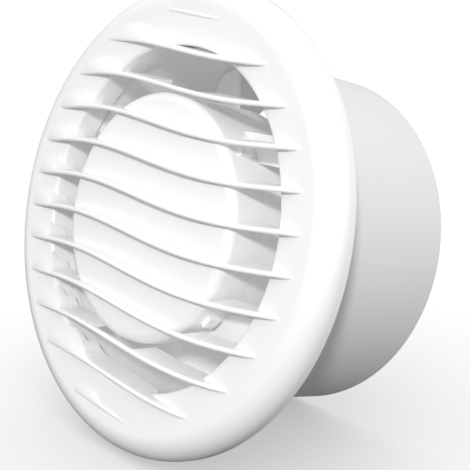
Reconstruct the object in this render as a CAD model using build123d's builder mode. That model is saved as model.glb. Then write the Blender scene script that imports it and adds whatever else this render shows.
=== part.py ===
from build123d import *
import os
from math import cos, pi, radians, sin, sqrt, tan

# Bathroom extractor fan, nominal duct size 120 mm, millimetres.
# The wall plane is Y = 0. The duct runs along +Y into the wall, the grille faces -Y, +Z is up,
# and the fan's axis of rotation is the Y axis.

# ---------------------------------------------------------------- driving dimensions
rim_radius = 77.5            # outer edge of the grille
rim_land = 2.2               # straight edge behind the rounded rim
crest_radius = 69.4          # highest circle of the rim, where the louvres fade out
crest_depth = 9.4            # how far that circle stands from the wall
aperture_radius = 56.0       # opening in the grille
bore_radius = 57.0           # inside of the duct
lip_depth = 8.3              # front of the opening's lip
lip_rear = 2.3               # where the lip's thick part ends, just clear of the flange
skirt_rear = 1.0             # a thin skirt carries the lip on into the duct, to this depth
skirt_gap = 0.3              # between the skirt and the duct
wall = 2.0                   # general moulded wall
bow = 6.8                    # how much further the louvres stand at the middle

louvre_count = 12
louvre_pitch = 12.0
louvre_thickness = 1.8
louvre_wave = 2.0            # height of the S curve
louvre_wave_length = 122.0
louvre_tilt = 8.0            # degrees, rear edge higher
louvre_rear = 3.5

duct_radius = 59.0
duct_length = 68.0
flange_radius = 74.9
flange_thickness = 2.0
fixing_radius = 66.5         # circle of the wall screws and the grille pegs
screw_hole_radius = 2.25
peg_radius = 2.9
socket_radius = 3.0
socket_wall = 1.6
socket_front = 6.0
peg_angles = (-90.0, 30.0, 150.0)
screw_angles = (45.0, 135.0, 225.0, 315.0)

cover_radius = 40.5
cover_front = 11.8
cover_round = 3.0
cup_front = 2.0              # depth where the motor cover meets the motor cup
cup_rear = 22.0
arm_height = 28.0            # arms run level, above and below the axis
arm_width = 9.0
arm_thickness = 4.0

motor_mid = 7.0              # middle of the lamination stack
stack_length = 13.0
stack_half_width = 20.0
stack_top = 17.0
stack_bottom = -31.0
bar_top = -25.0              # upper edge of the leg that carries the coil
window_half_width = 13.0
window_top = -17.0
rotor_radius = 11.0
air_gap = 0.3
shaft_radius = 2.5
shaft_front = -8.0
shaft_rear = 47.0
screw_offset = 17.0          # motor screws, each side of the axis
bearing_radius = 7.0
bearing_width = 5.0
bridge_gap = 2.0             # the bracket's bridge stands this far off the stack
bridge_thickness = 2.0
boss_radius = 9.0

hub_radius = 24.0
hub_front = 24.5
hub_rear = 44.0
blade_count = 7
blade_tip_radius = 55.5
blade_mid = 35.0
blade_thickness = 1.6
blade_start = 12.0           # angle of the first blade

terminal_height = 25.0       # middle of the terminal block above the axis
terminal_spacing = 4.2
terminal_mid = -3.0          # depth of the conductors in the block
entry_height = 66.5          # cable entry hole in the flange
clamp_angle = 66.0

stack_front = motor_mid - stack_length / 2
stack_rear = motor_mid + stack_length / 2
bearing_front = stack_front - bridge_gap - 1.5 - bearing_width
bearing_rear = stack_rear + bridge_gap + 1.5

os.makedirs("parts", exist_ok=True)


def facing_room(y):
    """Sketch plane at depth y as seen from the room: x is +X, y is +Z, extrusions go to -Y."""
    return Plane.XZ.offset(-y)


def polar(radius, angle):
    """Point on a circle about the fan's axis, in a plane that faces the room."""
    return (radius * cos(radians(angle)), radius * sin(radians(angle)))


def save(piece, label):
    """Name a finished piece and write it."""
    piece.part.label = label
    export_step(piece.part, f"parts/{label}.step")


def louvre_height(x, level):
    """Height at the rim's crest depth of a louvre whose front edge follows a shallow S at its level."""
    front_edge = level - louvre_wave * sin(2 * pi * x / louvre_wave_length)
    stand_out = bow * (1 - (x**2 + level**2) / crest_radius**2)
    return front_edge + stand_out * tan(radians(louvre_tilt))


# ---------------------------------------------------------------- front grille
louvre_levels = [(louvre_count - 1) / 2 * louvre_pitch - n * louvre_pitch for n in range(louvre_count)]

with BuildPart() as louvre_field:
    # Twelve louvres, each the same S curve, running back with a slight upward tilt.
    with BuildSketch(facing_room(-crest_depth)):
        for level in louvre_levels:
            reach = sqrt(crest_radius**2 - level**2) + 3
            stations = [reach * (i / 5 - 1) for i in range(11)]
            half = louvre_thickness / 2
            with BuildLine():
                upper = Spline(*[(x, louvre_height(x, level) + half) for x in stations])
                lower = Spline(*[(x, louvre_height(x, level) - half) for x in stations])
                Line(upper @ 0, lower @ 0)
                Line(upper @ 1, lower @ 1)
            make_face()
    tilt = radians(louvre_tilt)
    extrude(amount=crest_depth, dir=(0, -cos(tilt), -sin(tilt)), both=True)
    # Their front edges lie on one bowed surface that meets the rim at its crest.
    with BuildSketch(Plane.XY):
        with BuildLine():
            front = ThreePointArc(
                (0, -crest_depth - bow),
                (crest_radius / 2, -crest_depth - bow * 0.76),
                (crest_radius, -crest_depth),
            )
            Polyline(
                front @ 1,
                (crest_radius, -crest_depth + 1),
                (aperture_radius + 1, -lip_depth + 1.4),
                (aperture_radius + 1, -louvre_rear),
                (0, -louvre_rear),
                front @ 0,
            )
        make_face()
    revolve(axis=Axis.Y, mode=Mode.INTERSECT)
    # Behind the middle they stop just short of the motor cover.
    with BuildSketch(Plane.XY):
        with Locations((0, -cover_front - 0.5)):
            Rectangle(cover_radius + 3, 20, align=(Align.MIN, Align.MIN))
    revolve(axis=Axis.Y, mode=Mode.SUBTRACT)

with BuildPart() as front_grille:
    # Rim: a rounded outer edge, a crest, a shallow funnel down to the opening, and a skirt in the duct.
    with BuildSketch(Plane.XY):
        with BuildLine():
            land = Line((rim_radius, -0.2), (rim_radius, -rim_land))
            nose = TangentArc((rim_radius, -rim_land), (crest_radius, -crest_depth), tangent=(0, -1))
            funnel = Line(nose @ 1, (aperture_radius + 1.6, -lip_depth))
            lip = TangentArc(funnel @ 1, (aperture_radius, -lip_depth + 1.4), tangent=funnel % 1)
            inner = Polyline(
                lip @ 1,
                (aperture_radius, skirt_rear),
                (bore_radius - skirt_gap, skirt_rear),
                (bore_radius - skirt_gap, -lip_rear),
                (aperture_radius + wall, -lip_rear),
                (aperture_radius + wall, -lip_depth + wall),
                (crest_radius, -crest_depth + wall),
            )
            TangentArc(inner @ 1, (rim_radius - wall, -rim_land), tangent=(1, 0))
            Polyline((rim_radius - wall, -rim_land), (rim_radius - wall, -0.2), (rim_radius, -0.2))
        make_face()
    revolve(axis=Axis.Y)
    add(louvre_field.part)
    # Pegs that push into the sockets of the flange.
    with BuildSketch(facing_room(-0.4)):
        with Locations(*[polar(fixing_radius, a) for a in peg_angles]):
            Circle(peg_radius)
    extrude(amount=crest_depth - wall)
save(front_grille, "front_grille")

# ---------------------------------------------------------------- duct housing
with BuildPart() as duct_housing:
    # Duct tube and the flange that lies on the wall.
    with BuildSketch(Plane.XY):
        with Locations((bore_radius, -flange_thickness)):
            Rectangle(wall, duct_length + flange_thickness, align=(Align.MIN, Align.MIN))
            Rectangle(flange_radius - bore_radius, flange_thickness, align=(Align.MIN, Align.MIN))
    revolve(axis=Axis.Y)
    fillet(duct_housing.edges().filter_by(GeomType.CIRCLE).group_by(Axis.Y)[-1], wall * 0.45)
    # Sockets for the grille's pegs and low bosses for the cable clamp, on the flange.
    with BuildSketch(facing_room(-flange_thickness)):
        with Locations(*[polar(fixing_radius, a) for a in peg_angles]):
            Circle(socket_radius + socket_wall)
    extrude(amount=socket_front - flange_thickness)
    with BuildSketch(facing_room(-flange_thickness)):
        with Locations(*[polar(fixing_radius, clamp_angle + d) for d in (-5.6, 5.6)]):
            Circle(2.8)
    extrude(amount=1.5)
    # Holes along the fan's axis, all the way through what they meet.
    with BuildSketch(facing_room(1)):
        with Locations(*[polar(fixing_radius, a) for a in peg_angles]):
            Circle(socket_radius)
        with Locations(*[polar(fixing_radius, a) for a in screw_angles]):
            Circle(screw_hole_radius)
        with Locations((0, entry_height)):
            Circle(5.0)
        with Locations(*[polar(fixing_radius, clamp_angle + d) for d in (-5.6, 5.6)]):
            Circle(1.25)
    extrude(amount=10, mode=Mode.SUBTRACT)
save(duct_housing, "duct_housing")

# ---------------------------------------------------------------- motor carrier
with BuildPart() as motor_carrier:
    # Four arms reach the tube's wall and carry the motor cup.
    with BuildSketch(facing_room(cup_front + arm_thickness)):
        with Locations((0, arm_height), (0, -arm_height)):
            Rectangle(2 * duct_radius, arm_width)
        Circle(bore_radius, mode=Mode.INTERSECT)
        Circle(cover_radius - wall / 2, mode=Mode.SUBTRACT)
    extrude(amount=arm_thickness)
    # Motor cup: a short wall and a rear plate with a hole for the motor's boss.
    with BuildSketch(Plane.XY):
        with Locations((cover_radius, cup_front)):
            Rectangle(wall, cup_rear - cup_front, align=(Align.MAX, Align.MIN))
        with Locations((boss_radius + 0.1, cup_rear)):
            Rectangle(cover_radius - boss_radius - 0.1, wall, align=(Align.MIN, Align.MAX))
    revolve(axis=Axis.Y)
    # Posts for the motor screws and for the terminal block.
    with BuildSketch(facing_room(cup_rear - wall)):
        with Locations((screw_offset, 0), (-screw_offset, 0)):
            Circle(3.5)
    extrude(amount=cup_rear - wall - (stack_rear + bridge_gap + bridge_thickness))
    with BuildSketch(facing_room(cup_rear - wall)):
        with Locations((0, terminal_height)):
            Circle(3.0)
    extrude(amount=cup_rear - wall - 4.0)
    # Screw holes, and slots that let the motor breathe.
    with BuildSketch(facing_room(cup_rear + 1)):
        with Locations((screw_offset, 0), (-screw_offset, 0)):
            Circle(1.55)
        with PolarLocations(29, 4, start_angle=45):
            SlotOverall(14, 4, rotation=90)
    extrude(amount=12, mode=Mode.SUBTRACT)
    with BuildSketch(facing_room(14)):
        with Locations((0, terminal_height)):
            Circle(1.3)
    extrude(amount=12, mode=Mode.SUBTRACT)
save(motor_carrier, "motor_carrier")

# ---------------------------------------------------------------- motor cover
with BuildPart() as motor_cover:
    with BuildSketch(Plane.XY):
        with BuildLine():
            face = Line((0, -cover_front), (cover_radius - cover_round, -cover_front))
            shoulder = TangentArc(face @ 1, (cover_radius, -cover_front + cover_round), tangent=(1, 0))
            Polyline(
                shoulder @ 1,
                (cover_radius, cup_front - 0.1),
                (cover_radius - wall, cup_front - 0.1),
                (cover_radius - wall, -cover_front + cover_round),
            )
            TangentArc(
                (cover_radius - wall, -cover_front + cover_round),
                (cover_radius - cover_round, -cover_front + wall),
                tangent=(0, -1),
            )
            Polyline(
                (cover_radius - cover_round, -cover_front + wall),
                (0, -cover_front + wall),
                (0, -cover_front),
            )
        make_face()
    revolve(axis=Axis.Y)
    # Tongues that reach into the motor cup, and the lugs above them.
    for side in (40, 140, 220, 320):
        with BuildSketch(facing_room(cup_front + 5)):
            with Locations(polar(cover_radius - wall - 1.3, side)):
                Rectangle(1.8, 8, rotation=side)
        extrude(amount=9)
        with BuildSketch(facing_room(cup_front - 0.1)):
            with Locations(polar(cover_radius - wall - 0.6, side)):
                Rectangle(2.4, 8, rotation=side)
        extrude(amount=3.9)
        with BuildSketch(facing_room(-1.5)):
            with Locations(polar(cover_radius + 0.4, side)):
                Rectangle(2.4, 4, rotation=side)
        extrude(amount=4.5)
save(motor_cover, "motor_cover")

# ---------------------------------------------------------------- stator
with BuildPart() as stator_core:
    with BuildSketch(facing_room(stack_rear)):
        with Locations((0, (stack_top + stack_bottom) / 2)):
            RectangleRounded(2 * stack_half_width, stack_top - stack_bottom, 3)
        Circle(rotor_radius + air_gap, mode=Mode.SUBTRACT)
        with Locations((0, (bar_top + window_top) / 2)):
            Rectangle(2 * window_half_width, window_top - bar_top, mode=Mode.SUBTRACT)
        # Narrow saturating bridges between the two poles.
        with Locations((0, 13.2), (0, -13.2)):
            Rectangle(3, 4.5, mode=Mode.SUBTRACT)
        # Slots for the shading rings.
        for side in (1, -1):
            with Locations((-14.25 * side, 5.8 * side)):
                Rectangle(5.6, 1.6, mode=Mode.SUBTRACT)
            with Locations((-14.25 * side, 16.1 * side)):
                Rectangle(5.6, 1.8, mode=Mode.SUBTRACT)
        with Locations((screw_offset, 0), (-screw_offset, 0)):
            Circle(1.6, mode=Mode.SUBTRACT)
    extrude(amount=stack_length)
save(stator_core, "stator_core")

ring_wall = 1.5
with BuildPart() as shading_rings:
    for side in (1, -1):
        with BuildSketch(Plane.YZ.offset(-14.25 * side - 2.5)):
            with Locations((motor_mid, 10.9 * side)):
                Rectangle(stack_length + 0.1 + 2 * ring_wall, 8.6 + 2 * ring_wall)
                Rectangle(stack_length + 0.1, 8.6, mode=Mode.SUBTRACT)
        extrude(amount=5)
save(shading_rings, "shading_rings")

bar_mid = (stack_bottom + bar_top) / 2
bar_height = bar_top - stack_bottom
with BuildPart() as coil_bobbin:
    with BuildSketch(Plane.YZ.offset(-window_half_width + 0.2)):
        with Locations((motor_mid, bar_mid)):
            Rectangle(stack_length + 2.2, bar_height + 2.2)
    extrude(amount=2 * window_half_width - 0.4)
    for x in (-window_half_width + 0.2, window_half_width - 1.2):
        with BuildSketch(Plane.YZ.offset(x)):
            with Locations((motor_mid, bar_mid + 0.5)):
                RectangleRounded(23.2, 16, 1.5)
        extrude(amount=1)
    with BuildSketch(Plane.YZ.offset(-window_half_width)):
        with Locations((motor_mid, bar_mid)):
            Rectangle(stack_length + 0.2, bar_height + 0.2)
    extrude(amount=2 * window_half_width, mode=Mode.SUBTRACT)
save(coil_bobbin, "coil_bobbin")

winding_half = window_half_width - 1.25
with BuildPart() as coil_winding:
    with BuildSketch(Plane.YZ.offset(-winding_half)):
        with Locations((motor_mid, bar_mid + 0.5)):
            RectangleRounded(22.2, 14.8, 3)
        with Locations((motor_mid, bar_mid)):
            Rectangle(stack_length + 2.3, bar_height + 2.3, mode=Mode.SUBTRACT)
    extrude(amount=2 * winding_half)
save(coil_winding, "coil_winding")

with BuildPart() as thermal_fuse:
    with BuildSketch(Plane.YZ.offset(-5.5)):
        with Locations((motor_mid - 11.1 - 1.7, bar_mid)):
            Circle(1.6)
    extrude(amount=11)
    fillet(thermal_fuse.edges().filter_by(GeomType.CIRCLE), 0.5)
save(thermal_fuse, "thermal_fuse")


def bearing_bracket(seat, away):
    """Bridge-shaped bracket on one face of the stack. seat is that face, away is -1 or +1."""
    with BuildPart() as bracket:
        foot = seat + away * bridge_gap
        top = foot + away * bridge_thickness
        end = top + away * bearing_width
        with BuildSketch(facing_room(max(seat, foot))):
            with Locations((16.75, 0), (-16.75, 0)):
                Rectangle(5.5, 9)
        extrude(amount=bridge_gap)
        with BuildSketch(facing_room(max(foot, top))):
            RectangleRounded(39, 14, 3)
        extrude(amount=bridge_thickness)
        with BuildSketch(facing_room(max(top, end))):
            Circle(boss_radius)
        extrude(amount=bearing_width)
        lip = foot + away * 1.5
        with BuildSketch(facing_room(max(lip, end + away))):
            Circle(bearing_radius + 0.02)
        extrude(amount=abs(end + away - lip), mode=Mode.SUBTRACT)
        with BuildSketch(facing_room(motor_mid + 20)):
            Circle(4)
            with Locations((screw_offset, 0), (-screw_offset, 0)):
                Circle(1.6)
        extrude(amount=40, mode=Mode.SUBTRACT)
    return bracket


front_bearing_bracket = bearing_bracket(stack_front, -1)
save(front_bearing_bracket, "front_bearing_bracket")
rear_bearing_bracket = bearing_bracket(stack_rear, 1)
save(rear_bearing_bracket, "rear_bearing_bracket")


def bearing_rings(inner, outer):
    """The same ring of both ball bearings."""
    with BuildPart() as rings:
        for front in (bearing_front, bearing_rear):
            with BuildSketch(facing_room(front + bearing_width)):
                Circle(outer)
                Circle(inner, mode=Mode.SUBTRACT)
            extrude(amount=bearing_width)
        chamfer(rings.edges().filter_by(GeomType.CIRCLE), 0.25)
    return rings


save(bearing_rings(5.8, bearing_radius), "bearing_outer_rings")
save(bearing_rings(shaft_radius + 0.01, 3.8), "bearing_inner_rings")

with BuildPart() as bearing_balls:
    for front in (bearing_front, bearing_rear):
        for k in range(8):
            x, z = polar(4.8, 45 * k)
            with Locations((x, front + bearing_width / 2, z)):
                Sphere(0.96)
save(bearing_balls, "bearing_balls")

screw_tip = cup_rear - 0.5
screw_seat = stack_front - bridge_gap - bridge_thickness
with BuildPart() as motor_screws:
    with BuildSketch(facing_room(screw_tip)):
        with Locations((screw_offset, 0), (-screw_offset, 0)):
            Circle(1.5)
    extrude(amount=screw_tip - screw_seat + 1)
    with BuildSketch(facing_room(screw_seat - 0.5)):
        with Locations((screw_offset, 0), (-screw_offset, 0)):
            Circle(2.8)
    extrude(amount=2)
    with BuildSketch(facing_room(screw_seat - 1.6)):
        with Locations((screw_offset, 0), (-screw_offset, 0)):
            Rectangle(3.2, 0.7)
            Rectangle(0.7, 3.2)
    extrude(amount=1, mode=Mode.SUBTRACT)
save(motor_screws, "motor_screws")

with BuildPart() as motor_washers:
    with BuildSketch(facing_room(screw_seat)):
        with Locations((screw_offset, 0), (-screw_offset, 0)):
            Circle(3.2)
            Circle(1.6, mode=Mode.SUBTRACT)
    extrude(amount=0.5)
save(motor_washers, "motor_washers")

# ---------------------------------------------------------------- rotor, shaft and impeller
with BuildPart() as motor_shaft:
    with BuildSketch(facing_room(shaft_rear)):
        Circle(shaft_radius)
    extrude(amount=shaft_rear - shaft_front)
    chamfer(motor_shaft.edges().filter_by(GeomType.CIRCLE), 0.4)
save(motor_shaft, "motor_shaft")

with BuildPart() as rotor_core:
    with BuildSketch(facing_room(stack_rear)):
        Circle(rotor_radius)
        Circle(shaft_radius + 0.01, mode=Mode.SUBTRACT)
    extrude(amount=stack_length)
save(rotor_core, "rotor_core")

with BuildPart() as rotor_end_rings:
    for rear in (stack_front, stack_rear + 1.5):
        with BuildSketch(facing_room(rear)):
            Circle(rotor_radius - 0.4)
            Circle(4.6, mode=Mode.SUBTRACT)
        extrude(amount=1.5)
save(rotor_end_rings, "rotor_end_rings")

with BuildPart() as shaft_spacers:
    for rear in (stack_front, bearing_rear):
        with BuildSketch(facing_room(rear)):
            Circle(3.5)
            Circle(shaft_radius + 0.01, mode=Mode.SUBTRACT)
        extrude(amount=bridge_gap + 1.5)
save(shaft_spacers, "shaft_spacers")


def blade_plane(angle, radius, pitch):
    """Plane across a blade at one radius; its x axis is the chord."""
    a = radians(angle)
    p = radians(pitch)
    chord = (-sin(a) * cos(p), sin(p), cos(a) * cos(p))
    return Plane(origin=(radius * cos(a), blade_mid, radius * sin(a)), x_dir=chord, z_dir=(cos(a), 0, sin(a)))


# Radius, pitch in degrees, chord and camber of a blade at its root and at its tip.
blade_root = (hub_radius - 4, 50, 21, 2.2)
blade_tip = (blade_tip_radius + 3, 30, 34, 3.0)
blade_edge = blade_thickness * 0.35

with BuildPart() as impeller:
    for k in range(blade_count):
        for radius, pitch, chord, camber in (blade_root, blade_tip):
            with BuildSketch(blade_plane(360 / blade_count * k + blade_start, radius, pitch)):
                with BuildLine():
                    crown = camber + blade_thickness / 2
                    belly = camber - blade_thickness / 2
                    over = ThreePointArc((-chord / 2, blade_edge), (0, crown), (chord / 2, blade_edge))
                    under = ThreePointArc((-chord / 2, -blade_edge), (0, belly), (chord / 2, -blade_edge))
                    Line(over @ 0, under @ 0)
                    Line(over @ 1, under @ 1)
                make_face()
        loft()
    with BuildSketch(Plane.XY):
        with Locations((hub_radius - 1, hub_front - 2)):
            Rectangle(blade_tip_radius - hub_radius + 1, 26, align=(Align.MIN, Align.MIN))
    revolve(axis=Axis.Y, mode=Mode.INTERSECT)
    # Hub: a cup, open to the rear, with a boss on the shaft.
    with BuildSketch(Plane.XY):
        with BuildLine():
            Polyline(
                (shaft_radius + 0.01, hub_front),
                (hub_radius - 3, hub_front),
                (hub_radius, hub_front + 3),
                (hub_radius, hub_rear),
                (hub_radius - wall, hub_rear),
                (hub_radius - wall, hub_front + 2.5),
                (5.5, hub_front + 2.5),
                (5.5, hub_rear - 2),
                (shaft_radius + 0.01, hub_rear - 2),
                close=True,
            )
        make_face()
    revolve(axis=Axis.Y)
    with BuildSketch(facing_room(hub_rear - 4)):
        with PolarLocations(0, 6):
            with Locations((13.5, 0)):
                Rectangle(18, 1.4)
    extrude(amount=hub_rear - 4 - hub_front - 1)
save(impeller, "impeller")

with BuildPart() as impeller_clip:
    # Push-on star washer.
    with BuildSketch(facing_room(hub_rear - 1.4)):
        Circle(5.2)
        Circle(shaft_radius + 0.01, mode=Mode.SUBTRACT)
        with PolarLocations(3.4, 6):
            SlotOverall(2.4, 0.7, mode=Mode.SUBTRACT)
    extrude(amount=0.6)
save(impeller_clip, "impeller_clip")

# ---------------------------------------------------------------- electrical connection
block_front = -8.0
block_rear = 4.0
block_height = 12.0
with BuildPart() as terminal_block:
    with BuildSketch(facing_room(block_rear)):
        with Locations((0, terminal_height)):
            RectangleRounded(18, block_height, 1)
    extrude(amount=block_rear - block_front)
    # Conductor ways from below and above, and a bore for each brass clamp.
    with BuildSketch(Plane.XY.offset(terminal_height - block_height / 2)):
        with Locations((terminal_spacing, terminal_mid), (-terminal_spacing, terminal_mid)):
            Circle(1.5)
    extrude(amount=block_height, mode=Mode.SUBTRACT)
    with BuildSketch(Plane.XY.offset(terminal_height - 4.5)):
        with Locations((terminal_spacing, terminal_mid), (-terminal_spacing, terminal_mid)):
            Circle(2.8)
    extrude(amount=9, mode=Mode.SUBTRACT)
    with BuildSketch(facing_room(terminal_mid)):
        with GridLocations(2 * terminal_spacing, 5, 2, 2):
            with Locations((0, terminal_height)):
                Circle(1.75)
    extrude(amount=8, mode=Mode.SUBTRACT)
    with BuildSketch(facing_room(block_rear)):
        with Locations((0, terminal_height)):
            Circle(1.4)
    extrude(amount=block_rear - block_front, mode=Mode.SUBTRACT)
save(terminal_block, "terminal_block")

with BuildPart() as terminal_clamps:
    with BuildSketch(Plane.XY.offset(terminal_height - 4.4)):
        with Locations((terminal_spacing, terminal_mid), (-terminal_spacing, terminal_mid)):
            Circle(2.75)
            Circle(1.4, mode=Mode.SUBTRACT)
    extrude(amount=8.8)
    with BuildSketch(facing_room(terminal_mid)):
        with GridLocations(2 * terminal_spacing, 5, 2, 2):
            with Locations((0, terminal_height)):
                Circle(1.25)
    extrude(amount=8, mode=Mode.SUBTRACT)
save(terminal_clamps, "terminal_clamps")

with BuildPart() as terminal_screws:
    with BuildSketch(facing_room(terminal_mid - 1.2)):
        with GridLocations(2 * terminal_spacing, 5, 2, 2):
            with Locations((0, terminal_height)):
                Circle(1.2)
    extrude(amount=3)
    with BuildSketch(facing_room(terminal_mid - 3.0)):
        with GridLocations(2 * terminal_spacing, 5, 2, 2):
            with Locations((0, terminal_height)):
                Circle(1.65)
    extrude(amount=1.4)
    with BuildSketch(facing_room(terminal_mid - 3.7)):
        with GridLocations(2 * terminal_spacing, 5, 2, 2):
            with Locations((0, terminal_height)):
                Rectangle(4, 0.5)
    extrude(amount=1, mode=Mode.SUBTRACT)
save(terminal_screws, "terminal_screws")

with BuildPart() as terminal_fixing_screw:
    with BuildSketch(facing_room(12)):
        with Locations((0, terminal_height)):
            Circle(1.25)
    extrude(amount=12 - block_front)
    with BuildSketch(facing_room(block_front)):
        with Locations((0, terminal_height)):
            Circle(2.0)
    extrude(amount=1.2)
    with BuildSketch(facing_room(block_front - 0.6)):
        with Locations((0, terminal_height)):
            Rectangle(5, 0.6)
    extrude(amount=1, mode=Mode.SUBTRACT)
save(terminal_fixing_screw, "terminal_fixing_screw")

lead_radius = 0.9


def motor_lead(side):
    """Insulated lead from the terminal block, round the stack, to the end of the coil."""
    with BuildPart() as lead:
        top = terminal_height - 4.4
        with BuildLine():
            route = FilletPolyline(
                (side * terminal_spacing, terminal_mid, top),
                (side * terminal_spacing, terminal_mid, 12.5),
                (side * 24, terminal_mid, 12.5),
                (side * 24, terminal_mid, -24),
                (side * (window_half_width - 0.2), terminal_mid, -24),
                radius=4,
            )
        with BuildSketch(Plane(origin=route @ 0, z_dir=route % 0)):
            Circle(lead_radius)
        sweep()
    return lead


save(motor_lead(1), "live_lead")
save(motor_lead(-1), "neutral_lead")

with BuildPart() as cable_grommet:
    with BuildSketch(Plane.XY.offset(entry_height)):
        with BuildLine():
            Polyline(
                (2.8, -0.2), (4.95, -0.2), (4.95, -flange_thickness), (6.6, -flange_thickness),
                (6.6, -3.0), (5.6, -4.0), (2.8, -4.0), close=True,
            )
        make_face()
    revolve(axis=Axis((0, 0, entry_height), (0, 1, 0)))
save(cable_grommet, "cable_grommet")

clamp_seat = -flange_thickness - 1.5
with BuildPart() as cable_clamp:
    with BuildSketch(facing_room(clamp_seat)):
        with Locations(polar(fixing_radius, clamp_angle)):
            SlotOverall(19, 5.4, rotation=clamp_angle - 90)
        with Locations(*[polar(fixing_radius, clamp_angle + d) for d in (-5.6, 5.6)]):
            Circle(1.3, mode=Mode.SUBTRACT)
    extrude(amount=2.2)
save(cable_clamp, "cable_clamp")

with BuildPart() as cable_clamp_screws:
    places = [polar(fixing_radius, clamp_angle + d) for d in (-5.6, 5.6)]
    with BuildSketch(facing_room(-0.4)):
        with Locations(*places):
            Circle(1.2)
    extrude(amount=-clamp_seat + 2.2)
    with BuildSketch(facing_room(clamp_seat - 2.2)):
        with Locations(*places):
            Circle(2.3)
    extrude(amount=1.2)
    with BuildSketch(facing_room(clamp_seat - 2.9)):
        with Locations(*places):
            Rectangle(5, 0.6)
    extrude(amount=1, mode=Mode.SUBTRACT)
save(cable_clamp_screws, "cable_clamp_screws")
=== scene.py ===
import math

import bmesh
import bpy
from mathutils import Matrix, Vector


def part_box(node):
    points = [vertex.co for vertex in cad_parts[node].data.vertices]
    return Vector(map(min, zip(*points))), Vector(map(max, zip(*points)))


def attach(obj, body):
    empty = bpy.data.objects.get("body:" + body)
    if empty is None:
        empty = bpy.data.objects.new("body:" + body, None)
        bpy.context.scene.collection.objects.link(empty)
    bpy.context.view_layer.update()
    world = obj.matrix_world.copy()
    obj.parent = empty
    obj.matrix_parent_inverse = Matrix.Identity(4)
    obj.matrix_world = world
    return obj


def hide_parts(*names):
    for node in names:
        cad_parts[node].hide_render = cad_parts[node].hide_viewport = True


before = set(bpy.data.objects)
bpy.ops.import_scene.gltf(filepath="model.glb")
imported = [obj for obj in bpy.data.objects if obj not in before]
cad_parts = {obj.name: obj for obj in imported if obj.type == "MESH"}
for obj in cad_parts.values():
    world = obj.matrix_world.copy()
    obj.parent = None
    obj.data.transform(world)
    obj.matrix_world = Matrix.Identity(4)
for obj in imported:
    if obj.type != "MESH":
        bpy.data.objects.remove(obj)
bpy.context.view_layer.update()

bl_info = {
    "name": "Bathroom extractor fan",
    "version": (1, 0, 0),
    "blender": (4, 5, 0),
    "location": "3D View > Sidebar > Fan",
    "description": "Wave-louvred grille, motor, impeller and finishes of a round duct fan",
    "category": "Add Mesh",
}

MM = 0.001
RIM_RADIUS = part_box("front_grille")[1].x
LOUVRE_FRONT = -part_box("front_grille")[0].y
COVER_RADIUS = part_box("motor_cover")[1].x
COVER_FRONT = -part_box("motor_cover")[0].y
TUBE_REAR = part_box("duct_housing")[1].y
TUBE_RADIUS = 59.0 * MM
DUCT_BORE = 57.0 * MM
PEG_ANGLES = (-90.0, 30.0, 150.0)
PEG_CIRCLE = 66.5 * MM
PEG_RADIUS = 2.9 * MM
PEG_CHAMFER = 0.6 * MM
PEG_REAR = 0.4 * MM
PEG_ROOT = 8.2 * MM
RIM_FOOT = 0.2 * MM
LIP_FACE = 1.6 * MM
LIP_ROUND = 1.5 * MM
FULL_TURN = 2 * math.pi


# ------------------------------------------------------------------ nodes written as expressions
class Value:
    """An output socket. Arithmetic on it adds Math nodes to its tree."""

    def __init__(self, nodes, socket):
        self.nodes = nodes
        self.socket = socket

    def math(self, operation, *terms):
        return self.nodes.node("ShaderNodeMath", {"operation": operation}, dict(enumerate(terms)))

    def __add__(self, other):
        return self.math("ADD", self, other)

    def __radd__(self, other):
        return self.math("ADD", other, self)

    def __sub__(self, other):
        return self.math("SUBTRACT", self, other)

    def __rsub__(self, other):
        return self.math("SUBTRACT", other, self)

    def __mul__(self, other):
        return self.math("MULTIPLY", self, other)

    def __rmul__(self, other):
        return self.math("MULTIPLY", other, self)

    def __truediv__(self, other):
        return self.math("DIVIDE", self, other)

    def __rtruediv__(self, other):
        return self.math("DIVIDE", other, self)

    def __lt__(self, other):
        return self.math("LESS_THAN", self, other)

    def root(self):
        return self.math("SQRT", self)

    def sine(self):
        return self.math("SINE", self)

    def sign(self):
        return self.math("SIGN", self)

    def fraction(self):
        return self.math("FRACT", self)

    def least(self, other):
        return self.math("MINIMUM", self, other)

    def most(self, other):
        return self.math("MAXIMUM", self, other)


class Nodes:
    """Adds nodes to one node tree."""

    def __init__(self, tree):
        self.tree = tree

    def node(self, kind, settings=None, sockets=None, output=0):
        """One node: its settings first, then its sockets. output is one output or several."""
        made = self.tree.nodes.new(kind)
        for name, setting in (settings or {}).items():
            setattr(made, name, setting)
        for name, value in (sockets or {}).items():
            if isinstance(value, Value):
                self.tree.links.new(value.socket, made.inputs[name])
            else:
                made.inputs[name].default_value = value
        if output is None:
            return None
        if isinstance(output, tuple):
            return tuple(Value(self, made.outputs[o]) for o in output)
        return Value(self, made.outputs[output])


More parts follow.
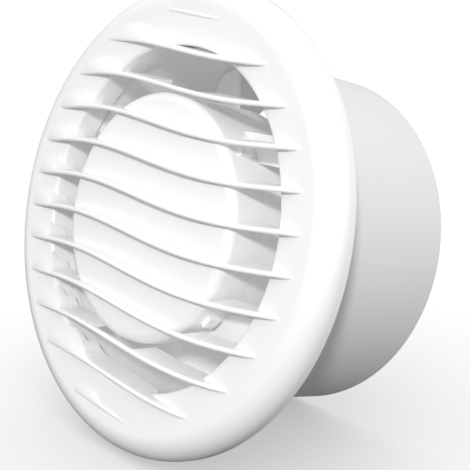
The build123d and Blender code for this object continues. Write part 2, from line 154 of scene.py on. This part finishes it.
class Finish(Nodes):
    """A new material. Patterns sit on Object coordinates, in metres."""

    def __init__(self, name):
        self.material = bpy.data.materials.new(name)
        self.material.use_nodes = True
        super().__init__(self.material.node_tree)
        self.tree.nodes.clear()
        self.place = self.node("ShaderNodeTexCoord", output="Object")

    def noise(self, scale, detail=2.0, place=None, roughness=0.5):
        """Noise from 0 to 1; scale is in cells per metre."""
        sockets = {"Vector": place or self.place, "Scale": scale, "Detail": detail, "Roughness": roughness}
        return self.node("ShaderNodeTexNoise", {"noise_dimensions": "3D"}, sockets, "Fac")

    def stretched(self, scale):
        """Object coordinates stretched by one factor for each axis."""
        sockets = {"Vector": self.place, "Scale": scale}
        return self.node("ShaderNodeMapping", {"vector_type": "POINT"}, sockets)

    def axes(self):
        return self.node("ShaderNodeSeparateXYZ", None, {0: self.place}, (0, 1, 2))

    def blended(self, amount, first, second):
        """A colour between two others."""
        settings = {"data_type": "RGBA", "blend_type": "MIX"}
        sockets = {0: amount, 6: (*first, 1), 7: (*second, 1)}
        return self.node("ShaderNodeMix", settings, sockets, 2)

    def bump(self, height, distance, strength=1.0):
        sockets = {"Height": height, "Distance": distance, "Strength": strength}
        return self.node("ShaderNodeBump", None, sockets, "Normal")

    def done(self, **sockets):
        """Ends the material in a Principled surface. Names are its sockets, with _ for a space."""
        named = {name.replace("_", " "): value for name, value in sockets.items()}
        return self.ended(self.node("ShaderNodeBsdfPrincipled", None, named, "BSDF"))

    def ended(self, surface):
        self.node("ShaderNodeOutputMaterial", None, {"Surface": surface}, None)
        return self.material


# ------------------------------------------------------------------ finishes
def tinted(colour, factor):
    return tuple(min(1.0, c * factor) for c in colour)


def moulded_plastic(name, colour, roughness, grain=0.0025 * MM, coat=0.0, spread=0.02, painted_glow=0.0):
    """Injection-moulded plastic: faint clouding, uneven gloss and a fine skin texture.

    The last argument sets painted light: inside the duct bore the surface emits a faint even light that
    brightens its shaded interior.
    """
    f = Finish(name)
    cloud = f.noise(38, 3)
    skin = f.noise(1400, 2)
    drag = f.noise(140, 2, f.stretched((1, 0.25, 1)))
    shade = f.blended(cloud, tinted(colour, 1 - spread), tinted(colour, 1 + spread / 2))
    gloss = (cloud * 0.5 + drag * 0.5 - 0.5) * 0.16 + roughness
    sockets = {}
    # Painted light: a faint emission inside the duct bore lifts the shaded interior.
    if painted_glow:
        across, _, height = f.axes()
        inside = (across * across + height * height).root() < DUCT_BORE + 0.3 * MM
        sockets = {
            "Emission_Color": f.blended(inside * 1.0, (0, 0, 0), (painted_glow, painted_glow, painted_glow)),
            "Emission_Strength": 1.0,
        }
    return f.done(
        Base_Color=shade, Roughness=gloss, Normal=f.bump(skin + drag * 2.0, grain),
        Specular_IOR_Level=0.5, Coat_Weight=coat, Coat_Roughness=0.14, **sockets,
    )


def laminations(name, colour):
    """Stacked steel sheets of half a millimetre, with varnish and a cut edge on each."""
    f = Finish(name)
    _, along, _ = f.axes()
    sheet = (along * (1 / (0.5 * MM))).fraction()
    seam = (sheet < 0.22) * 1.0
    stain = f.noise(160, 3)
    shade = f.blended(seam * 0.75 + stain * 0.25, tinted(colour, 1.15), tinted(colour, 0.35))
    return f.done(
        Base_Color=shade, Metallic=0.85, Roughness=stain * 0.2 + 0.36,
        Normal=f.bump(1 - seam, 0.05 * MM),
    )


def bare_metal(name, colour, roughness, stretch=(1, 1, 1), scratch=0.004 * MM, tarnish=0.12):
    """Metal with fine machining marks along one direction and faint clouds of tarnish."""
    f = Finish(name)
    marks = f.noise(1800, 2, f.stretched(stretch))
    cloud = f.noise(210, 3)
    shade = f.blended(cloud, tinted(colour, 1 - tarnish), tinted(colour, 1.06))
    gloss = marks * 0.16 + cloud * 0.1 + roughness - 0.13
    return f.done(Base_Color=shade, Metallic=1.0, Roughness=gloss, Normal=f.bump(marks, scratch))


def wound_tape(name, colour):
    """Tape over an enamelled winding: turns of wire show through as ribs, with painted shade in the grooves
    between them.
    """
    f = Finish(name)
    across, _, _ = f.axes()
    turn = (across * (FULL_TURN / (0.45 * MM))).sine() * 0.5 + 0.5
    overlap = ((across * (1 / (6 * MM))).fraction() < 0.12) * 1.0
    cloud = f.noise(420, 3)
    # Tone from tape overlaps and random clouds, plus painted shade in the grooves between wire turns.
    tape_tone_and_groove_shade = overlap * 0.4 + cloud * 0.35 + (1 - turn) * 0.25
    return f.done(
        Base_Color=f.blended(tape_tone_and_groove_shade, tinted(colour, 1.1), tinted(colour, 0.5)),
        Roughness=cloud * 0.2 + 0.3, Normal=f.bump(turn * 0.6 + overlap * 0.4, 0.06 * MM),
    )


def sleeving(name, colour, roughness):
    """Extruded sleeve: faint draw lines along it and a slightly greasy gloss."""
    f = Finish(name)
    lines = f.noise(900, 2, f.stretched((3, 3, 0.2)))
    cloud = f.noise(180, 2)
    return f.done(
        Base_Color=f.blended(cloud, tinted(colour, 0.85), tinted(colour, 1.15)),
        Roughness=lines * 0.2 + roughness - 0.1, Normal=f.bump(lines, 0.01 * MM),
    )


# ------------------------------------------------------------------ meshes
def new_piece(name, mesh):
    """Links a new object at the origin."""
    piece = bpy.data.objects.new(name, mesh)
    bpy.context.scene.collection.objects.link(piece)
    return piece


def sharpened(mesh, degrees=32):
    """Smooth shading that breaks at edges sharper than this."""
    mesh.shade_smooth()
    mesh.set_sharp_from_angle(angle=math.radians(degrees))


def arc(centre, radius, first, last, steps):
    """Points on an arc, angles in degrees."""
    points = []
    for i in range(steps + 1):
        a = math.radians(first + (last - first) * i / steps)
        points.append((centre[0] + radius * math.cos(a), centre[1] + radius * math.sin(a)))
    return points


def lathed(bm, outline, segments):
    """Turns a closed outline of (radius, depth) points about the Y axis."""
    rings = []
    for s in range(segments):
        a = FULL_TURN * s / segments
        ring = [bm.verts.new((r * math.cos(a), y, r * math.sin(a))) for r, y in outline]
        rings.append(ring)
    count = len(outline)
    for s in range(segments):
        here, there = rings[s], rings[(s + 1) % segments]
        for i in range(count):
            j = (i + 1) % count
            bm.faces.new((here[i], here[j], there[j], there[i]))


def turned_pin(bm, x, z, outline, segments):
    """A solid pin along Y from an outline that starts and ends on its own axis."""
    first = bm.verts.new((x, outline[0][1], z))
    last = bm.verts.new((x, outline[-1][1], z))
    rings = []
    for r, y in outline[1:-1]:
        ring = []
        for s in range(segments):
            a = FULL_TURN * s / segments
            ring.append(bm.verts.new((x + r * math.cos(a), y, z + r * math.sin(a))))
        rings.append(ring)
    for s in range(segments):
        t = (s + 1) % segments
        bm.faces.new((first, rings[0][s], rings[0][t]))
        bm.faces.new((last, rings[-1][t], rings[-1][s]))
        for near, far in zip(rings, rings[1:]):
            bm.faces.new((near[s], far[s], far[t], near[t]))


def closed_mesh(name, bm):
    """Merges doubles, turns every face outwards and makes the mesh."""
    bmesh.ops.remove_doubles(bm, verts=bm.verts, dist=0.0005 * MM)
    bmesh.ops.recalc_face_normals(bm, faces=bm.faces)
    mesh = bpy.data.meshes.new(name)
    bm.to_mesh(mesh)
    bm.free()
    return mesh


def kept_result(piece):
    """Replaces an object's mesh by what its modifiers make, and removes them."""
    bpy.context.view_layer.update()
    made = bpy.data.meshes.new_from_object(piece.evaluated_get(bpy.context.evaluated_depsgraph_get()))
    piece.modifiers.clear()
    piece.data = made


def grown(piece, tree, values):
    """Runs a Geometry Nodes tree on an object with these inputs, and keeps the plain mesh."""
    modifier = piece.modifiers.new(tree.name, "NODES")
    modifier.node_group = tree
    for item in tree.interface.items_tree:
        if item.item_type == "SOCKET" and item.in_out == "INPUT" and item.name in values:
            modifier[item.identifier] = values[item.name]
    kept_result(piece)


def joined(piece, *others):
    """Unites closed meshes into one."""
    for other in others:
        modifier = piece.modifiers.new("unite", "BOOLEAN")
        modifier.operation = "UNION"
        modifier.solver = "MANIFOLD"
        modifier.object = other
    kept_result(piece)
    for other in others:
        bpy.data.objects.remove(other)


def new_tree(name, inputs):
    """An empty Geometry Nodes tree with named inputs. Returns it and the inputs as Values."""
    tree = bpy.data.node_groups.new(name, "GeometryNodeTree")
    tree.interface.new_socket("Geometry", in_out="INPUT", socket_type="NodeSocketGeometry")
    for label, kind in inputs:
        tree.interface.new_socket(label, in_out="INPUT", socket_type=kind)
    tree.interface.new_socket("Geometry", in_out="OUTPUT", socket_type="NodeSocketGeometry")
    nodes = Nodes(tree)
    names = tuple(["Geometry"] + [label for label, _ in inputs])
    values = nodes.node("NodeGroupInput", output=names)
    return tree, nodes, dict(zip(names, values))


def end_tree(nodes, geometry, material):
    """Realize Instances, Set Material and the output."""
    real = nodes.node("GeometryNodeRealizeInstances", None, {0: geometry})
    painted = nodes.node("GeometryNodeSetMaterial", None, {"Geometry": real, "Material": material})
    nodes.node("NodeGroupOutput", None, {0: painted}, None)


LENGTH = "NodeSocketFloat"
LOUVRE_INPUTS = (
    ("Louvres", "NodeSocketInt"), ("Pitch", LENGTH), ("Crest radius", LENGTH), ("Crest depth", LENGTH),
    ("Bow", LENGTH), ("Wave height", LENGTH), ("Wave length", LENGTH), ("Bead radius", LENGTH),
    ("Blade half thickness", LENGTH), ("Tilt", LENGTH), ("Rear depth", LENGTH),
    ("Cover clearance radius", LENGTH), ("Cover clearance depth", LENGTH), ("Opening radius", LENGTH),
    ("Funnel depth", LENGTH), ("Run-in", LENGTH), ("Lip radius", LENGTH), ("Lip depth", LENGTH),
    ("Ramp width", LENGTH), ("Ramp fade", LENGTH), ("Ramp sink", LENGTH), ("Fade length", LENGTH),
    ("Left fade", LENGTH), ("Right fade", LENGTH), ("Material", "NodeSocketMaterial"),
)


# Fall of the rim's hidden funnel for each unit of distance out from the opening.
FUNNEL_SLOPE = 0.121
# Where the ramps start on the left and the sinking starts on the right, as shares of the lip radius.
LEFT_START = 0.125
RIGHT_START = -0.3
LEFT_RISE = 4.0


def louvre_tree():
    """Copies one louvre blank down the grille and bends each copy to its own place.

    The blank's x runs from -1 to 1 along the louvre. Its y is below 0 round the front bead and runs
    from 0 to 1 back along the blade. Its z is -1 on the lower side and 1 on the upper side.
    """
    tree, n, v = new_tree("Louvre field", LOUVRE_INPUTS)
    index = n.node("GeometryNodeInputIndex")
    level = ((v["Louvres"] - 1) / 2 - index) * v["Pitch"]
    points = n.node("GeometryNodePoints", None, {"Count": v["Louvres"]})
    store = {"data_type": "FLOAT", "domain": "POINT"}
    points = n.node("GeometryNodeStoreNamedAttribute", store, {0: points, "Name": "level", "Value": level})
    copies = n.node("GeometryNodeInstanceOnPoints", None, {"Points": points, "Instance": v["Geometry"]})
    real = n.node("GeometryNodeRealizeInstances", None, {0: copies})
    level = n.node("GeometryNodeInputNamedAttribute", {"data_type": "FLOAT"}, {"Name": "level"})
    place = n.node("GeometryNodeInputPosition")
    along, back, side = n.node("ShaderNodeSeparateXYZ", None, {0: place}, (0, 1, 2))

    # How far each end reaches, so that it dies away just inside the crest of the rim.
    edge = v["Crest radius"] + v["Run-in"]
    turns = FULL_TURN / v["Wave length"]
    first_reach = (edge * edge - level * level).most(0).root()
    end_height = level - v["Wave height"] * (along.sign() * first_reach * turns).sine()
    reach = (edge * edge - end_height * end_height).most(0).root()

    # The shallow S line, and the bowed front that all the louvres share.
    x = along * reach
    line = level - v["Wave height"] * (x * turns).sine()
    radius = (x * x + line * line).root()
    share = radius / v["Crest radius"]
    onto_rim = ((radius - v["Opening radius"]) / v["Fade length"]).most(0).least(1)
    right_side = (x / v["Lip radius"] - RIGHT_START).most(0).least(1)
    sunk = onto_rim * onto_rim * (v["Left fade"] + right_side * v["Right fade"])
    front = sunk - v["Crest depth"] - v["Bow"] * (1 - share * share)

    # Each louvre is deep over the airway, shallow over the motor cover and buried in the rim.
    over_cover = radius < v["Cover clearance radius"]
    over_opening = radius < v["Opening radius"]
    funnel = v["Funnel depth"] + (radius - v["Opening radius"]) * FUNNEL_SLOPE
    rear = over_cover * v["Cover clearance depth"] + (1 - over_cover) * (
        over_opening * v["Rear depth"] + (1 - over_opening) * funnel
    )
    bead = v["Bead radius"]
    blade = back.most(0)

    # On the left of the rim the upper side runs out in a long soft ramp that meets the funnel.
    fade = ((radius - v["Opening radius"]) / v["Ramp fade"] + 0.5).most(0).least(1)
    left_side = ((-LEFT_START - x / v["Lip radius"]) * LEFT_RISE).most(0).least(1)
    fade = fade * fade * (3 - fade * 2) * (1 - (side < 0.0001)) * left_side
    upper = side.most(0)
    ramp = upper * upper * (3 - upper * 2)
    crest = (v["Crest radius"] * v["Crest radius"] - x * x).most(0).root()
    width = (crest - line).least(v["Ramp width"]).most(0)
    top = line + width
    top_radius = (x * x + top * top).root().most(v["Lip radius"]).least(v["Crest radius"])
    slope = (v["Crest depth"] - v["Lip depth"]) / (v["Crest radius"] - v["Lip radius"])
    surface = v["Lip depth"] + (top_radius - v["Lip radius"]) * slope
    drop = (v["Ramp sink"] - front - surface).most(0) * ramp
    nose = (1 - fade) * bead * (back.least(0) + 1) + fade * drop
    y = front + nose - (rear + front + nose) * blade
    half = bead - (bead - v["Blade half thickness"]) * blade
    z = line + side * half + upper * fade * width + (y - front) * v["Tilt"]
    moved = n.node("ShaderNodeCombineXYZ", None, {0: x, 1: y, 2: z})
    bent = n.node("GeometryNodeSetPosition", None, {"Geometry": real, "Position": moved})
    end_tree(n, bent, v["Material"])
    return tree


def louvre_blank(stations, bead_steps, blade_steps):
    """A straight closed strip in the blank's own units, for louvre_tree."""
    section = []
    for i in range(bead_steps + 1):
        a = math.pi * (i / bead_steps - 0.5)
        section.append((-math.cos(a), math.sin(a)))
    section += [(i / blade_steps, 1.0) for i in range(1, blade_steps + 1)]
    section += [(i / blade_steps, -1.0) for i in range(blade_steps, 0, -1)]
    bm = bmesh.new()
    rings = []
    crowding = 0.35 * math.pi
    for s in range(stations + 1):
        # Stations crowd towards the ends, where the louvre runs into the rim.
        along = math.sin((2 * s / stations - 1) * crowding) / math.sin(crowding)
        rings.append([bm.verts.new((along, y, z)) for y, z in section])
    count = len(section)
    for near, far in zip(rings, rings[1:]):
        for i in range(count):
            j = (i + 1) % count
            bm.faces.new((near[i], near[j], far[j], far[i]))
    bm.faces.new(rings[0])
    bm.faces.new(reversed(rings[-1]))
    bmesh.ops.recalc_face_normals(bm, faces=bm.faces)
    mesh = bpy.data.meshes.new("louvre_blank")
    bm.to_mesh(mesh)
    bm.free()
    return mesh


# ------------------------------------------------------------------ settings
def length(name, description, default):
    return bpy.props.FloatProperty(name=name, description=description, default=default, unit="LENGTH")


def tone(name, description, default):
    return bpy.props.FloatVectorProperty(
        name=name, description=description, default=default, subtype="COLOR", size=3, min=0, max=1
    )


class FanGrilleSettings(bpy.types.PropertyGroup):
    louvres: bpy.props.IntProperty(name="Louvres", description="Louvres across the grille", default=12)
    pitch: length("Pitch", "Distance from one louvre to the next", 12.0 * MM)
    crest_radius: length("Crest radius", "Highest circle of the rim", 69.4 * MM)
    crest_depth: length("Crest depth", "How far the crest stands from the wall", 9.4 * MM)
    opening_radius: length("Opening radius", "Radius of the grille's opening", 56.0 * MM)
    lip_depth: length("Lip depth", "Depth of the lip round the opening", 8.3 * MM)
    lip_rear: length("Lip rear", "Where the lip's thick part ends, just off the flange", 2.3 * MM)
    skirt_rear: length("Skirt rear", "How far the lip's thin skirt reaches into the duct", 1.0 * MM)
    skirt_wall: length("Skirt wall", "Thickness of the skirt", 0.7 * MM)
    land: length("Land", "Straight edge at the foot of the rim", 2.2 * MM)
    wall: length("Wall", "Thickness of the moulded wall", 2.0 * MM)
    wave_height: length("Wave height", "Height of each louvre's S curve", 2.0 * MM)
    wave_length: length("Wave length", "Length of one whole wave", 122.0 * MM)
    bead_radius: length("Bead radius", "Radius of the rounded front of a louvre", 0.78 * MM)
    ramp_width: length("Ramp width", "Height of the soft ramp from a louvre up to the rim", 6.5 * MM)
    ramp_fade: length("Ramp fade", "Distance over which the ramps die out at the opening", 7.0 * MM)
    left_fade: length("Left fade", "How far the louvres sink as they cross the rim on the left", 0.35 * MM)
    right_fade: length("Right fade", "How much further they sink on the right", 0.9 * MM)
    blade_half: length("Blade half thickness", "Half the louvre's thickness at its rear edge", 0.7 * MM)
    tilt: bpy.props.FloatProperty(
        name="Tilt", description="Rise of the louvres towards the rear", default=math.radians(8),
        subtype="ANGLE",
    )


class FanFinishSettings(bpy.types.PropertyGroup):
    grille: tone("Grille", "Glossy white of the grille and motor cover", (0.93, 0.93, 0.93))
    housing: tone("Housing", "Satin white of the duct housing", (0.83, 0.83, 0.835))
    impeller: tone("Impeller", "White of the impeller", (0.88, 0.88, 0.885))
    gloss: bpy.props.FloatProperty(
        name="Roughness", description="Roughness of the glossy plastic", default=0.32, subtype="FACTOR"
    )


class FanStageSettings(bpy.types.PropertyGroup):
    key: bpy.props.FloatProperty(
        name="Key light", description="Power of the main light", default=4.2, unit="POWER"
    )
    surround: bpy.props.FloatProperty(
        name="Surround", description="Brightness of the white surround", default=0.86
    )


# ------------------------------------------------------------------ pieces
def dressed(node, material):
    """Gives a CAD node's object its material."""
    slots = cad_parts[node].material_slots
    if not slots:
        raise RuntimeError(f"{node} has no material slot")
    for slot in slots:
        slot.material = material


def rim_outline(s):
    """The rim's closed outline: land, rounded nose, shallow funnel, lip, skirt and the hollow back."""
    rise = s.crest_depth - s.land
    run = RIM_RADIUS - s.crest_radius
    nose = (run * run + rise * rise) / (2 * run)
    centre = (RIM_RADIUS - nose, -s.land)
    crest_angle = math.degrees(math.atan2(-s.crest_depth + s.land, s.crest_radius - centre[0]))
    lip_start = s.opening_radius + LIP_FACE
    outline = [(RIM_RADIUS, -RIM_FOOT)]
    outline += arc(centre, nose, 0, crest_angle, 26)
    funnel_steps = 6
    for i in range(1, funnel_steps):
        t = i / funnel_steps
        outline.append((
            s.crest_radius + (lip_start - s.crest_radius) * t,
            -s.crest_depth + (s.crest_depth - s.lip_depth) * t,
        ))
    outline += arc((lip_start, -s.lip_depth + LIP_ROUND), LIP_ROUND, -95, -180, 8)
    outline += [
        (s.opening_radius, s.skirt_rear),
        (s.opening_radius + s.skirt_wall, s.skirt_rear),
        (s.opening_radius + s.skirt_wall, -s.lip_rear),
        (s.opening_radius + s.wall, -s.lip_rear),
        (s.opening_radius + s.wall, -s.lip_depth + s.wall),
        (s.crest_radius, -s.crest_depth + s.wall),
    ]
    outline += arc(centre, nose - s.wall, crest_angle + 5, 0, 16)
    outline.append((RIM_RADIUS - s.wall, -RIM_FOOT))
    return outline


def add_pegs(bm):
    """The three pegs behind the rim, each with a chamfered end."""
    shape = [
        (0, -PEG_REAR), (PEG_RADIUS - PEG_CHAMFER, -PEG_REAR), (PEG_RADIUS, -PEG_REAR - PEG_CHAMFER),
        (PEG_RADIUS, -PEG_ROOT), (0, -PEG_ROOT),
    ]
    for angle in PEG_ANGLES:
        a = math.radians(angle)
        turned_pin(bm, PEG_CIRCLE * math.cos(a), PEG_CIRCLE * math.sin(a), shape, 40)


class FAN_OT_grille(bpy.types.Operator):
    """Makes the rim and its twelve waved louvres, one moulding."""

    bl_idname = "fan.grille"
    bl_label = "Grille"

    def execute(self, context):
        s = context.scene.fan_grille
        finish = context.scene.fan_finish
        white = moulded_plastic("glossy white plastic", tuple(finish.grille), finish.gloss, coat=0.22)

        bm = bmesh.new()
        lathed(bm, rim_outline(s), 320)
        rim = new_piece("front_grille_shell", closed_mesh("rim", bm))

        bm = bmesh.new()
        add_pegs(bm)
        pegs = new_piece("pegs", closed_mesh("pegs", bm))

        louvres = new_piece("louvres", louvre_blank(170, 14, 5))
        grown(louvres, louvre_tree(), {
            "Louvres": s.louvres, "Pitch": s.pitch, "Crest radius": s.crest_radius,
            "Crest depth": s.crest_depth, "Bow": LOUVRE_FRONT - s.crest_depth,
            "Wave height": s.wave_height, "Wave length": s.wave_length,
            "Bead radius": s.bead_radius, "Blade half thickness": s.blade_half,
            "Tilt": math.tan(s.tilt), "Rear depth": 3.5 * MM,
            "Cover clearance radius": COVER_RADIUS + 3 * MM,
            "Cover clearance depth": COVER_FRONT + 0.35 * MM,
            "Opening radius": s.opening_radius + 1 * MM, "Funnel depth": 6.9 * MM,
            "Run-in": 1.5 * MM, "Lip radius": s.opening_radius + LIP_FACE, "Lip depth": s.lip_depth,
            "Ramp width": s.ramp_width, "Ramp fade": s.ramp_fade, "Ramp sink": 0.35 * MM,
            "Fade length": 9 * MM, "Left fade": s.left_fade, "Right fade": s.right_fade,
            "Material": white,
        })
        joined(rim, louvres, pegs)
        rim.data.materials.clear()
        rim.data.materials.append(white)
        sharpened(rim.data)
        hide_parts("front_grille")
        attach(rim, "grille")
        dressed("motor_cover", white)
        return {"FINISHED"}


class FAN_OT_housing(bpy.types.Operator):
    """Finishes the duct housing, its cable clamp and the grommet."""

    bl_idname = "fan.housing"
    bl_label = "Housing"

    def execute(self, context):
        # The housing plastic paints a faint emitted light inside the duct bore, standing in for light in
        # the shaded interior.
        satin = moulded_plastic(
            "satin white plastic with painted inner light", tuple(context.scene.fan_finish.housing), 0.42, 0.006 * MM, painted_glow=0.07
        )
        dressed("duct_housing", satin)
        dressed("motor_carrier", satin)
        dressed("cable_clamp", satin)
        rubber = moulded_plastic("grey rubber", (0.16, 0.16, 0.165), 0.62, 0.02 * MM, spread=0.15)
        dressed("cable_grommet", rubber)
        return {"FINISHED"}


class FAN_OT_impeller(bpy.types.Operator):
    """Finishes the impeller and its clip."""

    bl_idname = "fan.impeller"
    bl_label = "Impeller"

    def execute(self, context):
        colour = tuple(context.scene.fan_finish.impeller)
        # The impeller plastic paints a faint emitted light inside the duct bore, standing in for light in
        # the shaded interior.
        dressed("impeller", moulded_plastic("impeller plastic with painted light", colour, 0.38, 0.006 * MM, painted_glow=0.06))
        dressed("impeller_clip", bare_metal("spring steel", (0.42, 0.43, 0.45), 0.32))
        return {"FINISHED"}


class FAN_OT_motor(bpy.types.Operator):
    """Finishes the shaded-pole motor's stator, rotor, bearings and brackets."""

    bl_idname = "fan.motor"
    bl_label = "Motor"

    def execute(self, context):
        sheets = laminations("stacked steel sheets", (0.4, 0.41, 0.43))
        cast = bare_metal("cast zinc", (0.6, 0.61, 0.63), 0.5, scratch=0.02 * MM)
        ground = bare_metal("ground steel", (0.7, 0.71, 0.72), 0.24, (1, 8, 1))
        copper = bare_metal("bare copper", (0.78, 0.36, 0.2), 0.34, tarnish=0.3)
        nylon = moulded_plastic("natural nylon", (0.74, 0.7, 0.58), 0.5, 0.01 * MM)
        plated = bare_metal("zinc plating", (0.72, 0.74, 0.77), 0.3, tarnish=0.08)
        finishes = {
            "stator_core": sheets, "rotor_core": sheets,
            "front_bearing_bracket": cast, "rear_bearing_bracket": cast, "rotor_end_rings": cast,
            "bearing_outer_rings": ground, "bearing_inner_rings": ground, "bearing_balls": ground,
            "motor_shaft": ground, "shading_rings": copper,
            "coil_bobbin": nylon, "shaft_spacers": nylon,
            "coil_winding": wound_tape("yellow tape", (0.72, 0.56, 0.1)),
            "thermal_fuse": sleeving("black shrink sleeve", (0.03, 0.03, 0.032), 0.5),
            "motor_screws": plated, "motor_washers": plated,
        }
        for node, material in finishes.items():
            dressed(node, material)
        return {"FINISHED"}


class FAN_OT_connection(bpy.types.Operator):
    """Finishes the terminal block, its brass and screws, and the motor's two leads."""

    bl_idname = "fan.connection"
    bl_label = "Connection"

    def execute(self, context):
        plated = bare_metal("plated screws", (0.74, 0.74, 0.74), 0.28, tarnish=0.08)
        finishes = {
            "terminal_block": moulded_plastic("cream polyamide", (0.8, 0.77, 0.68), 0.45, 0.012 * MM),
            "terminal_clamps": bare_metal("turned brass", (0.75, 0.55, 0.24), 0.28, (1, 1, 6)),
            "terminal_screws": plated, "terminal_fixing_screw": plated, "cable_clamp_screws": plated,
            "live_lead": sleeving("brown sleeve", (0.13, 0.05, 0.025), 0.42),
            "neutral_lead": sleeving("blue sleeve", (0.03, 0.1, 0.42), 0.42),
        }
        for node, material in finishes.items():
            dressed(node, material)
        return {"FINISHED"}


def floor_paint(centre):
    """White floor shown by its own emission, with a painted soft shadow where the fan stands close to it.
    """
    f = Finish("floor with painted shadow")
    ends = {0: f.place, 1: tuple(centre)}
    offset = f.node("ShaderNodeVectorMath", {"operation": "DISTANCE"}, ends, "Value")
    away = ((offset - 0.14) / 0.16).most(0).least(1)
    painted_shadow_ao = f.node("ShaderNodeAmbientOcclusion", {"samples": 16}, {"Distance": 0.2}, "AO")
    seen = f.node("ShaderNodeLightPath", output="Is Camera Ray")
    # Painted shadow: near the fan, ambient occlusion turns the camera-seen floor grey; further off it fades
    # to the white surround.
    shade = (0.44 + painted_shadow_ao * 0.6) * (1 - away) + away * 1.02
    painted_glow = f.node("ShaderNodeEmission", None, {
        "Color": (1, 1, 1, 1), "Strength": seen * shade + (1 - seen) * 0.17,
    })
    return f.ended(painted_glow)


def aimed_camera(scene):
    """The camera, from its turn round the fan, its rise and its roll."""
    turn, rise, roll = map(math.radians, (45.82, 4.384, 10.924))
    back = Vector((math.sin(turn) * math.cos(rise), -math.cos(turn) * math.cos(rise), math.sin(rise)))
    level = Vector((math.cos(turn), math.sin(turn), 0))
    over = level.cross(-back)
    right = level * math.cos(roll) + over * math.sin(roll)
    up = over * math.cos(roll) - level * math.sin(roll)
    distance, aside, below = 331.4 * MM, 20.9 * MM, -5.02 * MM
    camera = bpy.data.objects.new("camera", bpy.data.cameras.new("camera"))
    camera.data.sensor_width = 36
    camera.data.lens = 77.43
    camera.data.clip_start = 0.01
    camera.data.clip_end = 20
    rotation = Matrix((right, up, back)).transposed().to_4x4()
    camera.matrix_world = Matrix.Translation(back * distance + right * aside + up * below) @ rotation
    scene.collection.objects.link(camera)
    scene.camera = camera


def floor_disc(centre, slope):
    """A flat disc of rings round centre. slope is its direction from front to rear."""
    spokes = 64
    bm = bmesh.new()
    hub = bm.verts.new(centre)
    rings = []
    for radius in (0.05, 0.1, 0.16, 0.24, 0.36):
        ring = []
        for i in range(spokes):
            a = FULL_TURN * i / spokes
            ring.append(bm.verts.new(centre + radius * (Vector((math.cos(a), 0, 0)) + slope * math.sin(a))))
        rings.append(ring)
    for i in range(spokes):
        j = (i + 1) % spokes
        bm.faces.new((hub, rings[0][i], rings[0][j]))
        for near, far in zip(rings, rings[1:]):
            bm.faces.new((near[i], far[i], far[j], near[j]))
    mesh = bpy.data.meshes.new("floor")
    bm.to_mesh(mesh)
    bm.free()
    return mesh


def white_surround(scene, standing, brightness):
    """Plain white to the eye, brightest along standing as a source of light."""
    world = bpy.data.worlds.new("surround")
    world.use_nodes = True
    scene.world = world
    n = Nodes(world.node_tree)
    world.node_tree.nodes.clear()
    seen = n.node("ShaderNodeLightPath", output="Is Camera Ray")
    way = n.node("ShaderNodeTexCoord", output="Generated")
    ways = {0: way, 1: tuple(standing)}
    height = n.node("ShaderNodeVectorMath", {"operation": "DOT_PRODUCT"}, ways, "Value")
    sky = (height * 0.9 + 0.55).most(0.0).least(1) * brightness
    shine = n.node("ShaderNodeBackground", None, {
        "Color": (1, 1, 1, 1), "Strength": seen * 1.02 + (1 - seen) * sky,
    })
    n.node("ShaderNodeOutputWorld", None, {"Surface": shine}, None)


def key_lamp(scene, power):
    """The main light, a small disc in front and to the right."""
    direction = Vector((0.62, -0.73, 0.25))
    data = bpy.data.lights.new("key", "AREA")
    data.shape = "DISK"
    data.size = 0.08
    data.energy = power
    lamp = bpy.data.objects.new("key", data)
    lamp.location = direction.normalized() * 0.85
    lamp.rotation_mode = "QUATERNION"
    lamp.rotation_quaternion = direction.to_track_quat("Z", "Y")
    scene.collection.objects.link(lamp)


class FAN_OT_stage(bpy.types.Operator):
    """Sets the pale floor that the fan leans back on, the soft lights and the camera."""

    bl_idname = "fan.stage"
    bl_label = "Stage"

    def execute(self, context):
        s = context.scene.fan_stage
        scene = context.scene
        scene.view_settings.view_transform = "Standard"
        aimed_camera(scene)

        # The fan lies back on the foot of its rim and the rear edge of its tube.
        low_front = Vector((0, -2.0 * MM, -RIM_RADIUS))
        low_rear = Vector((0, TUBE_REAR, -TUBE_RADIUS))
        slope = (low_rear - low_front).normalized()
        standing = Vector((1, 0, 0)).cross(slope)
        centre = (low_front + low_rear) / 2 - standing * 0.1 * MM
        floor = new_piece("floor", floor_disc(centre, slope))
        floor.data.materials.append(floor_paint(centre))

        white_surround(scene, standing, s.surround)
        key_lamp(scene, s.key)
        return {"FINISHED"}


class FAN_PT_panel(bpy.types.Panel):
    """Lists the fan's operators and settings."""

    bl_idname = "FAN_PT_panel"
    bl_label = "Extractor fan"
    bl_space_type = "VIEW_3D"
    bl_region_type = "UI"
    bl_category = "Fan"

    def draw(self, context):
        for settings in (context.scene.fan_grille, context.scene.fan_finish, context.scene.fan_stage):
            for name in settings.__annotations__:
                self.layout.prop(settings, name)
        for operator in OPERATORS:
            self.layout.operator(operator.bl_idname)


OPERATORS = (
    FAN_OT_grille, FAN_OT_housing, FAN_OT_impeller, FAN_OT_motor, FAN_OT_connection, FAN_OT_stage,
)
SETTINGS = {
    "fan_grille": FanGrilleSettings, "fan_finish": FanFinishSettings, "fan_stage": FanStageSettings,
}


def register():
    for kind in (*SETTINGS.values(), *OPERATORS, FAN_PT_panel):
        bpy.utils.register_class(kind)
    for name, kind in SETTINGS.items():
        setattr(bpy.types.Scene, name, bpy.props.PointerProperty(type=kind))


def unregister():
    for name in SETTINGS:
        delattr(bpy.types.Scene, name)
    for kind in (FAN_PT_panel, *reversed(OPERATORS), *SETTINGS.values()):
        bpy.utils.unregister_class(kind)


def main():
    register()
    bpy.ops.fan.grille()
    bpy.ops.fan.housing()
    bpy.ops.fan.impeller()
    bpy.ops.fan.motor()
    bpy.ops.fan.connection()
    bpy.ops.fan.stage()


if __name__ == "__main__":
    main()
